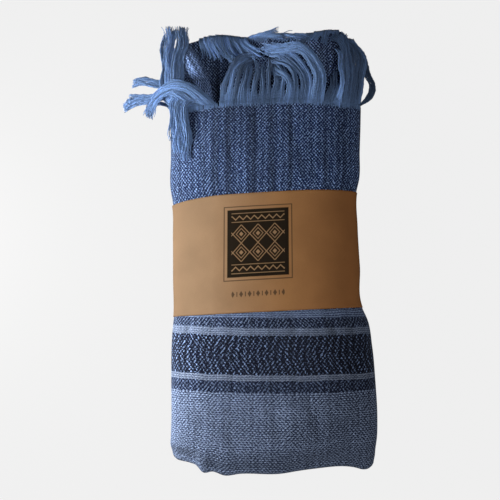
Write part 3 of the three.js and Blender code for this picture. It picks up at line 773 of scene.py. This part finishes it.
# the waves of the single yarns: their sizes and lengths, from low to high, in mm
CRIMP = ((0.12, 0.42), (6.5, 11.0))
DRIFT = ((0.2, 0.9), (20.0, 36.0))
RISE = ((0.2, 1.0), (8, 13))
STRAY_SHARE, STRAY_REACH = 0.05, 7
SWIRL = 0.9                     # radians that a lock turns about its own line
YARN_TINTS = (0.62, 1.28)
LOCK_TINTS = (0.75, 1.25)
BACK_FRINGE_TOP = 3.6
FOLDED_BACK_FROM = 244.0
FOLDED_BACK_DEPTH = 4.2

# fray: how unevenly the yarns end, as a share of the length; density: yarns a mm of the lock's width
LOCK_KEYS = (
    "at", "length", "heading", "turn", "bend_from", "bend_to", "lift", "drop", "width", "fray", "density",
    "tint",
)
FRONT_LOCKS = [dict(zip(LOCK_KEYS, values)) for values in (
    (-107, 60, -35, -42, 0, 0.3, 0, 16, 5.5, 0.06, 4.5, 0.95),
    (-103.5, 72, -20, -82, 0.1, 0.4, 0, 16, 9, 0.05, 5.5, 0.9),
    (-102, 68, -18, -74, 0.12, 0.45, 0, 14, 4, 0.1, 5, 0.6),
    (-99, 78, -12, -72, 0.28, 0.5, -2, 13, 12, 0.03, 5.5, 0.95),
    (-97, 106, -66, 65, 0.1, 0.3, 0, 12, 5, 0.14, 5, 1),
    (-93.5, 110, -66, 72, 0.1, 0.3, 2, 12, 6, 0.16, 5.5, 1.1),
    (-88, 114, -68, 67, 0.1, 0.3, 1, 13, 8, 0.1, 5.5, 1),
    (-86, 110, -60, 65, 0.1, 0.3, 3, 12, 9, 0.14, 5.5, 1.15),
    (-83, 106, -50, 53, 0.1, 0.3, 1, 12, 9.5, 0.18, 5.5, 0.95),
    (-79, 74, -70, -114, 0.24, 0.46, 3, 0, 6, 0.5, 4.5, 1),
    (-76, 80, -62, -122, 0.12, 0.34, 3, 0, 7, 0.4, 4.5, 1.15),
    (-74, 84, -68, -114, 0.18, 0.38, 3, 0, 7, 0.5, 4.5, 1.1),
    (-68, 90, -62, -121, 0.1, 0.34, 4, 0, 8, 0.5, 4.5, 1.05),
    (-50, 26, 4, -8, 0, 1, 0, 3, 3, 0.1, 3, 1.2),
    (52, 102, 10, -96, 0.15, 0.78, 12, 2, 8, 0.3, 4.5, 1.1),
    (59, 112, 6, -99, 0.15, 0.78, 14, 2, 7, 0.34, 4.5, 1.2),
    (80, 66, 12, -20, 0.1, 0.7, 8, 4, 4.5, 0.1, 3.5, 1.25),
    # painted shade: this lock's tint of 0.34 darkens the loop at the right side, which lies in shade
    (105, 79, 66, -84, 0, 0.5, 0, 12, 7.5, 0.1, 5, 0.34),
)]
ROW_COLUMNS = (
    "count", "start", "end", "length_first", "length_last", "vary", "width",
    "lean_first", "lean_last", "sway", "turn_first", "turn_last", "bend_from", "bend_to", "lift", "drop",
    "fray", "density", "tint",
)
LOCK_ROWS = {
    "fringe_front": [
        (4, -82, -60, 68, 98, 0, 6.5, -56, -50, 0, -96, -108, 0.25, 0.85, 9, 14, 0.15, 4, 0.95),
        (4, -50, -29, 72, 52, 0, 5.6, 8, 4, 0, 60, 34, 0.3, 1, 5, 3, 0.2, 3.4, 0.8),
        (6, -22, 15, 50, 52, 2, 5.6, 2, 8, 1, 4, -24, 0.3, 1, 3, 4, 0.3, 2.8, 0.75),
        (4, 22, 45, 50, 90, 0, 6.2, 14, 8, 0, -60, -88, 0.15, 0.8, 5, 2, 0.2, 3, 0.95),
        (3, 65, 75, 34, 48, 0, 4.6, 20, 22, 0, -10, -20, 0.1, 1, 2, 6, 0.2, 4, 0.7),
        (5, 86, 104, 86, 88, 0, 7.5, 4, 8, 0, -40, -54, 0.5, 1, 2, 9, 0.08, 5.5, 0.66),
    ],
    "fringe_inner_upper": [
        (3, -75, -63, 28, 36, 0, 7.5, 178, 172, 0, -16, -26, 0.1, 0.7, 2, 0, 0.5, 2.6, 1.3),
        (5, -55, -28, 48, 42, 0, 8, 170, 158, 0, -34, -50, 0.1, 0.8, 4, 0, 0.5, 2.6, 1.3),
        (5, -18, 26, 30, 26, 3, 5.6, 72, 78, 0, 22, 16, 0, 1, 3, 3, 0.2, 3, 1.05),
        (5, 42, 80, 14, 17, 2, 6.5, 200, 190, 4, 6, 8, 0.1, 1, 1, 0, 0.2, 3, 0.8),
    ],
    "fringe_inner_lower": [
        (15, -92, 90, 18, 22, 3, 7, -12, 8, 3, 8, -8, 0.1, 1, 0, 4, 0.2, 2.2, 0.9),
    ],
    "fringe_back": [
        (15, -92, 90, 66, 66, 8, 7, -16, 12, 3, 6, -8, 0.1, 1, 0, 0, 0.2, 1.8, 0.9),
    ],
}


def mix(a, b, share):
    return a + (b - a) * share


def hem_line(side):
    def line(x):
        row = row_at(np.float64(HEM_Y))
        share = float(np.clip((x - row["middle"]) / row["half"], -1, 1))
        angle = side * math.acos(math.copysign(abs(share) ** (ROUNDNESS / 2), share))
        point = body_points(np.float64(HEM_Y), np.float64(angle), 0.8)
        return np.array([x, point[1], point[2]])
    return line


def ply_line(name):
    ply = INNER_PLIES[name]
    return lambda x: ply_points(ply, (x - ply["middle"]) / ply["half"], 1.0)


def on_ply(name):
    return lambda x, y: ply_top(INNER_PLIES[name], x, y)


def under_front(x, y):
    """What the front fringe lies on: the body, then the upper ply with its fringe and its corner."""
    ply = ply_top(INNER_PLIES["inner_ply_upper"], x, y)
    ply = ply + FOLDED_BACK_DEPTH * np.clip((y - FOLDED_BACK_FROM) / 6, 0, 1)
    corner = [corner_top(x + reach, y) for reach in (-CORNER_REACH, 0.0, CORNER_REACH)]
    inside = np.maximum.reduce([ply, *corner])
    return np.where(y < HEM_Y + HEM_TILT * x, body_top(x, y), inside)


# line: the edge that carries the roots; rest: the height that the yarns lie on;
# root: the height of the cloth where the yarns leave it, where that shows
EDGES = {
    "fringe_front": {"line": hem_line(1), "rest": under_front, "root": body_top},
    "fringe_back": {"line": hem_line(-1), "rest": lambda x, y: 0.0 * x, "root": None},
    "fringe_inner_upper": {
        "line": ply_line("inner_ply_upper"),
        "rest": on_ply("inner_ply_upper"),
        "root": on_ply("inner_ply_upper"),
    },
    "fringe_inner_lower": {
        "line": ply_line("inner_ply_lower"),
        "rest": lambda x, y: BACK_FRINGE_TOP + 0.0 * x,
        "root": on_ply("inner_ply_lower"),
    },
}


def lock_route(edge, lock, steps):
    """A lock's middle line and its headings, from the hem to the tip."""
    root = edge["line"](lock["at"])
    share = (np.arange(steps) + 0.5) / steps
    bent = np.clip((share - lock["bend_from"]) / (lock["bend_to"] - lock["bend_from"]), 0, 1)
    heading = np.radians(lock["heading"] + lock["turn"] * bent)
    stride = lock["length"] / steps
    x = root[0] + summed(np.sin(heading)) * stride
    y = root[1] + SEAM_GAP + STRIP_DEPTH / 2 + summed(np.cos(heading)) * stride
    place = np.linspace(0, 1, steps + 1)
    rise = lock["lift"] * np.sin(math.pi * place) - lock["drop"] * place ** 1.6
    clear = edge["rest"](x, y) + lock["width"] * LOCK_THICKNESS / 2 + LOCK_CLEARANCE
    z = np.where(place > 0, np.maximum(root[2] + rise, clear), root[2])
    kernel = np.array([0.25, 0.5, 0.25])
    for _ in range(2):
        z[1:-1] = np.convolve(z, kernel, "valid")
    return np.stack([x, y, z], -1), np.concatenate([[heading[0]], heading])


def row_locks(node):
    """The locks of a node's rows, each row spread evenly from its first lock to its last."""
    locks = []
    for values in LOCK_ROWS[node]:
        row = dict(zip(ROW_COLUMNS, values))
        for i in range(row["count"]):
            share = i / (row["count"] - 1)
            length, lean, turn = (
                mix(row[key + "_first"], row[key + "_last"], share) for key in ("length", "lean", "turn")
            )
            locks.append({
                **row,
                "at": mix(row["start"], row["end"], share),
                "length": length + row["vary"] * math.sin(2.3 * i + 1),
                "heading": lean + row["sway"] * math.sin(0.9 * i),
                "turn": turn,
            })
    return locks


def lock_yarns(edge, lock, spread, dice):
    """The yarns of one lock: they leave the hem side by side, gather into the lock and fray at its tip."""
    count = max(5, round(lock["density"] * lock["width"]))
    steps = max(8, round(lock["length"] / YARN_STEP))
    route, heading = lock_route(edge, lock, steps)
    place = np.linspace(0, 1, steps + 1)

    def own(low, high):
        """A number for each yarn."""
        return np.array([dice.uniform(low, high) for _ in range(count)])[:, None]

    def wave(sizes, lengths):
        return own(*sizes) * np.sin(TAU * run / own(*lengths) + own(0, TAU))

    at = place[None, :] * (1 - lock["fray"] * own(0, 1) ** 2)
    centre = np.stack([np.interp(at, place, route[:, i]) for i in range(3)], -1)
    facing = np.interp(at, place, np.unwrap(heading))
    slot = ((np.arange(count) + 0.5) / count - 0.5)[:, None]
    run = at * lock["length"]
    gather = np.clip(run / (GATHER_LENGTH * dice.uniform(0.5, 1.1)), 0, 1)
    gather = gather * gather * (3 - 2 * gather)
    waist = 1.05 - 0.1 * np.sin(math.pi * at) + 1.6 * lock["fray"] * at ** 5
    crimp = wave(*CRIMP) + wave(*DRIFT) * at
    crimp += LOCK_WANDER * np.sin(TAU * run / dice.uniform(*WANDER_LENGTH) + dice.uniform(0, TAU)) * at
    stray = np.where(own(0, 1) < STRAY_SHARE, own(-STRAY_REACH, STRAY_REACH), own(-0.8, 0.8)) * at ** 2.5
    aside = lock["width"] * (slot + own(-0.06, 0.06)) * waist + stray
    if abs(lock["heading"]) > 90:
        aside = -aside
    layer = lock["width"] * LOCK_THICKNESS * own(-0.42, 0.42) * np.cos(math.pi * slot)
    swirl = dice.uniform(-SWIRL, SWIRL) * at
    aside, layer = aside * np.cos(swirl) - 1.5 * layer * np.sin(swirl), layer + 0.3 * aside * np.sin(swirl)
    side = np.stack([np.cos(facing), -np.sin(facing), 0 * facing], -1)
    paths = centre + side * (aside * gather + crimp)[..., None]
    paths[..., 0] += spread * slot * (1 - gather)
    paths[..., 2] += layer * gather + 0.5 * wave(*RISE) * at
    return seated_yarns(edge, paths, run, own)


def seated_yarns(edge, paths, run, own):
    """The yarns lifted onto what they lie on, and with their roots in the weave where that shows."""
    resting = edge["rest"](paths[..., 0], paths[..., 1]) + YARN_RADIUS + 0.1
    paths[..., 2] = np.where(run > 1.0, np.maximum(paths[..., 2], resting), paths[..., 2])
    if not edge["root"]:
        return paths
    start = paths[:, :1].copy()
    start[..., 1] -= ROOT_OVERLAP * own(0.6, 3.0)
    start[..., 2] = edge["root"](start[..., 0], start[..., 1]) - 1.2 * YARN_RADIUS
    paths[:, 0, 2] = edge["root"](paths[:, 0, 0], paths[:, 0, 1] - 2.0) + 0.8 * YARN_RADIUS
    return np.concatenate([start, paths], axis=1)


def yarn_tubes(paths):
    """Tubes along the paths, closed at both ends: points and faces."""
    count, steps, _ = paths.shape
    tangent = np.gradient(paths, axis=1)
    tangent /= np.linalg.norm(tangent, axis=-1, keepdims=True) + 1e-9
    up = np.array([0.05, 0.02, 1.0])
    side = np.cross(tangent, up)
    side /= np.linalg.norm(side, axis=-1, keepdims=True) + 1e-9
    over = np.cross(side, tangent)
    share = np.linspace(0, 1, steps)
    size = YARN_RADIUS * (1 - 0.3 * share ** 6)[None, :, None]
    turns = np.arange(YARN_SIDES) * TAU / YARN_SIDES + math.pi / 2
    rings = np.stack([paths + size * (side * math.cos(t) + over * math.sin(t)) for t in turns], axis=2)
    numbers = np.arange(count * steps * YARN_SIDES).reshape(count, steps, YARN_SIDES)
    faces = []
    for k in range(YARN_SIDES):
        j = (k + 1) % YARN_SIDES
        quads = np.stack([numbers[:, :-1, k], numbers[:, 1:, k], numbers[:, 1:, j], numbers[:, :-1, j]], -1)
        faces.append(quads.reshape(-1, 4))
    caps = np.concatenate([numbers[:, 0, :], numbers[:, -1, ::-1]])
    return rings.reshape(-1, 3), np.concatenate(faces), caps


def strand_values(paths, dice, lock_tint):
    """For each point of the tubes: the yarn's tint, the place along it in mm and a random number."""
    count, steps, _ = paths.shape
    run = np.linalg.norm(np.diff(paths, axis=1), axis=-1).cumsum(1)
    values = np.empty((count, steps, YARN_SIDES, 3))
    tints = np.array([lock_tint * dice.uniform(*YARN_TINTS) for _ in range(count)])
    values[..., 0] = tints[:, None, None]
    values[..., 1] = np.concatenate([np.zeros((count, 1)), run], axis=1)[:, :, None]
    values[..., 2] = np.array([dice.random() for _ in range(count)])[:, None, None]
    return values.reshape(-1, 3)


def fringe(node, material):
    dice = random.Random(f"{SEED} {node}")
    edge = EDGES[node]
    locks = row_locks(node)
    if node == "fringe_front":
        locks += FRONT_LOCKS
    locks.sort(key=lambda lock: lock["at"])
    points, quads, caps, strands = [], [], [], []
    size = 0
    for i, lock in enumerate(locks):
        before = locks[i - 1]["at"] if i else lock["at"] - 4
        after = locks[i + 1]["at"] if i < len(locks) - 1 else lock["at"] + 4
        spread = max(3.0, (after - before) / 2 + 1.0)
        paths = lock_yarns(edge, lock, spread, dice)
        tube_points, tube_quads, tube_caps = yarn_tubes(paths)
        points.append(tube_points)
        quads += (tube_quads + size).tolist()
        caps += (tube_caps + size).tolist()
        strands.append(strand_values(paths, dice, lock["tint"] * dice.uniform(*LOCK_TINTS)))
        size += len(tube_points)
    return add_piece(node + "_yarns", node, "fringe", material, np.concatenate(points), quads + caps,
                     strand=np.concatenate(strands).T)


# ---------------- the paper band

PAPER_GAP = 0.35
PAPER_WALL = 0.4
BAND_ROWS = 66
LEFT_CURL, RIGHT_CURL = 4.4, 1.8
LEFT_CURL_X, RIGHT_CURL_X = -48.0, 40.0
CURL_RUN = 58.0
PRINT_MIDDLE = (-10.4, 44.6)
PRINT_SIZE = (66.0, 73.0)
FRAME_MARGIN = 3.4
ZIGZAG = 4.0
BORDER_Y, RAILS_Y = 25.5, (23.0, 32.5)
CELL_WIDE, CELL_HIGH = 9.0, 10.0
FIELD_HALF, ORNAMENT_HALF = 20.0, 28.5
MARKS_Y, MARK_CELL = -54.6, 4.5
LOZENGE = (2.1, 3.4)
KRAFT_DARK, KRAFT_LIGHT = (0.265, 0.15, 0.074), (0.31, 0.18, 0.092)
FLECK = (0.24, 0.1, 0.04)
PANEL_INK, ORNAMENT_INK = (0.012, 0.008, 0.004), (0.25, 0.155, 0.08)
LINE_INK = (0.05, 0.03, 0.018)
BAND_TILT = 0.055
# painted light and shade: the paper is paler and greyer to the left, like a sheen, and browner to the
# right, like warm shade: X and tint
PAPER_PAINTED_LIGHT = [
    (-104, (0.54, 0.60, 0.70)), (-84, (0.69, 0.78, 0.91)), (-60, (0.90, 1.0, 1.15)),
    (20, (1.0, 0.88, 0.70)), (90, (1.0, 0.76, 0.54)),
]


def paper_material():
    """Brown kraft with fibres, and a dark printed panel of plain geometric ornament on its upper side."""
    n = Nodes("kraft_paper")
    x, y, top = n.attribute("paper")
    fibre = n.field_noise(x, y, 0.5, 2.2, 6, 0.75)
    fleck = n.field_noise(x, y, 1.3, 1.3, 3, 0.8)
    cloud = n.field_noise(x, y, 0.03, 0.03, 3, 0.5)
    paper = n.mix(n.span(fibre, 0.3, 0.7), KRAFT_DARK, KRAFT_LIGHT)
    paper = n.mix(n.span(fleck, 0.66, 0.74, 0, 0.35), paper, FLECK)
    paper = n.toned(paper, n.span(cloud, 0.3, 0.7, 0.92, 1.07))
    # painted light and shade: a tint across X for how the light falls on the band
    paper = n.mix(1.0, paper, n.ramp(x, TONE_REACH, PAPER_PAINTED_LIGHT, "LINEAR"), "MULTIPLY")
    n.set(Base_Color=n.mix(n.span(top, 0.4, 0.6), paper, printed(n, x, y, paper)))
    n.set(Roughness=n.span(fibre, 0.3, 0.7, 0.74, 0.82), Specular_IOR_Level=0.08)
    n.bump(n.times_plus(cloud, 1.5, fibre), 0.00025)
    return n.material


def within(n, value, limit, soft):
    """1 below the limit and 0 above it, with a soft step between."""
    return n.span(value, limit + soft, limit - soft)


def printed(n, x, y, paper):
    """The paper with its print: a dark panel with ornament, a thin frame round it and a row of marks."""
    px = n.minus(x, PRINT_MIDDLE[0])
    py = n.minus(y, PRINT_MIDDLE[1])
    ax, ay = n.absolute(px), n.absolute(py)
    outside = n.maximum(n.minus(ax, PRINT_SIZE[0] / 2), n.minus(ay, PRINT_SIZE[1] / 2))
    line = within(n, n.absolute(n.minus(outside, FRAME_MARGIN)), 0.55, 0.2)
    panel = n.mix(ornament_mask(n, px, py, ax, ay), PANEL_INK, ORNAMENT_INK)
    colour = n.mix(within(n, outside, 0.0, 0.3), paper, panel)
    return n.mix(n.times(n.maximum(line, mark_row(n, px, py)), 0.85), colour, LINE_INK)


def ornament_mask(n, px, py, ax, ay):
    """Two zigzag borders, and a field of nested diamonds between them."""
    def near(value, middle, half):
        return within(n, n.absolute(n.minus(value, middle)), half, 0.25)

    border = near(n.minus(ay, n.pingpong(px, ZIGZAG)), BORDER_Y, 0.75)
    rail = n.maximum(near(ay, RAILS_Y[0], 0.35), near(ay, RAILS_Y[1], 0.35))
    cell_x = n.pingpong(px, CELL_WIDE)
    cell_y = n.pingpong(n.plus(py, CELL_HIGH), CELL_HIGH)
    shape = n.times(n.plus(n.divide(cell_x, CELL_WIDE), n.divide(cell_y, CELL_HIGH)), CELL_WIDE)
    rings = n.maximum(near(shape, CELL_WIDE, 0.6), near(shape, 0.6 * CELL_WIDE, 0.5))
    diamonds = n.maximum(rings, within(n, shape, 2.35, 0.25))
    field = n.times(diamonds, within(n, ay, FIELD_HALF, 0.3))
    all_marks = n.maximum(n.maximum(border, rail), field)
    return n.times(all_marks, within(n, ax, ORNAMENT_HALF, 0.3))


def mark_row(n, px, py):
    """A short row of small lozenges and bars under the panel."""
    cell = n.pingpong(px, MARK_CELL)
    height = n.absolute(n.minus(py, MARKS_Y))
    lozenge = n.plus(n.divide(cell, LOZENGE[0]), n.divide(height, LOZENGE[1]))
    bar = n.times(n.span(cell, 3.9, 4.1), within(n, height, 2.55, 0.15))
    drawn = n.maximum(within(n, lozenge, 1.0, 0.15), bar)
    return n.times(drawn, within(n, n.absolute(px), 28.25, 0.25))


def band_edge_curl(x):
    """How far the band's upper edge falls back at its ends."""
    left = np.clip((LEFT_CURL_X - x) / CURL_RUN, 0, 1) ** 1.6
    right = np.clip((x - RIGHT_CURL_X) / CURL_RUN, 0, 1) ** 1.6
    return LEFT_CURL * left + RIGHT_CURL * right


def paper_band(material):
    line = np.linspace(BAND_TOP_Y, BAND_BOTTOM_Y, BAND_ROWS)
    stations, insets = out_and_back(line, -PAPER_GAP - PAPER_WALL, -PAPER_GAP)
    y = stations[:, None]
    points = body_points(y, ANGLES, insets[:, None])
    x = points[..., 0]
    points[..., 1] -= band_edge_curl(x) * (y - BAND_BOTTOM_Y) / (BAND_TOP_Y - BAND_BOTTOM_Y)
    level = points[..., 1] - BAND_TILT * x
    on_top = (np.sin(ANGLES) > 0.2).astype(float)
    faces = grid_faces(2 * BAND_ROWS, AROUND, True, True)
    add_piece("kraft_band", "paper_band", "paper", material, points, faces, paper=(x, level, on_top))


# ---------------- camera, floor and light

CAMERA_AT = (-19.0, -47.0, 728.0)
CAMERA_TILT = 7.0
FOCAL_PIXELS = 634.0
FRAME_PIXELS = 500.0
SENSOR = 36.0
FLOOR_HALF = 3000.0
FLOOR_DROP = 0.6
FLOOR_GREY, FLOOR_GLOW = 0.012, 0.857
NEUTRAL, WARM = (1.0, 0.985, 0.96), (1.0, 0.95, 0.9)
SKY, SKY_STRENGTH = (0.95, 0.97, 1.0), 0.05


def place_camera():
    data = bpy.data.cameras.new("camera")
    data.sensor_width = SENSOR
    data.lens = FOCAL_PIXELS / FRAME_PIXELS * SENSOR
    data.clip_start = 0.01
    camera = bpy.data.objects.new("camera", data)
    camera.location = [value * MM for value in CAMERA_AT]
    camera.rotation_euler = (math.radians(CAMERA_TILT), 0, 0)
    bpy.context.scene.collection.objects.link(camera)
    bpy.context.scene.camera = camera


def lay_floor():
    n = Nodes("studio_floor")
    n.set(Base_Color=(FLOOR_GREY,) * 3, Roughness=1.0, Specular_IOR_Level=0.0)
    n.set(Emission_Color=(FLOOR_GLOW,) * 3, Emission_Strength=1.0)
    corners = [(x * FLOOR_HALF, y * FLOOR_HALF, 0) for x, y in ((-1, -1), (1, -1), (1, 1), (-1, 1))]
    floor = new_object("floor", corners, [(0, 1, 2, 3)], n.material, False)
    floor.location.z = -FLOOR_DROP * MM
    floor.visible_diffuse = False
    floor.visible_glossy = False


def area_light(name, place, target, size, power, colour):
    data = bpy.data.lights.new(name, "AREA")
    data.shape = "DISK"
    data.size = size * MM
    data.energy = power
    data.color = colour
    lamp = bpy.data.objects.new(name, data)
    lamp.location = [value * MM for value in place]
    lamp.rotation_euler = (Vector(target) - Vector(place)).to_track_quat("-Z", "Y").to_euler()
    bpy.context.scene.collection.objects.link(lamp)


def light_studio():
    area_light("key", (-430, 50, 168), (30, 40, 40), 220, 4.6, NEUTRAL)
    area_light("low", (-260, -460, 220), (-60, -150, 20), 300, 0.3, NEUTRAL)
    area_light("fill", (420, -250, 1000), (0, 0, 0), 900, 4.4, WARM)
    world = bpy.data.worlds.new("studio")
    world.use_nodes = True
    background = world.node_tree.nodes["Background"]
    background.inputs["Color"].default_value = (*SKY, 1)
    background.inputs["Strength"].default_value = SKY_STRENGTH
    bpy.context.scene.world = world
    bpy.context.scene.view_settings.view_transform = "Standard"


# ---------------- build

place_camera()
lay_floor()
light_studio()
striped_cloth = woven_cloth("striped_cloth")
# painted light: the plies and the layers inside wear the lighter copy of the upper field's weave
plain_cloth_painted_light = woven_cloth("plain_cloth_painted_light", striped=False, weave=PLY_WEAVE_PAINTED_LIGHT)
fringe_yarn = yarn_cotton("fringe_yarn", YARN_COLOUR)

wrap = outer_ply(striped_cloth)
layers_inside(plain_cloth_painted_light)
upper = inner_ply("inner_ply_upper", plain_cloth_painted_light)
lower = inner_ply("inner_ply_lower", plain_cloth_painted_light)
corner = turned_corner(woven_cloth("turned_cloth", striped=False, weave=CORNER_WEAVE))
paper_band(paper_material())
front_fringe = fringe("fringe_front", fringe_yarn)
upper_fringe = fringe("fringe_inner_upper", fringe_yarn)
lower_fringe = fringe("fringe_inner_lower", fringe_yarn)
back_fringe = fringe("fringe_back", fringe_yarn)
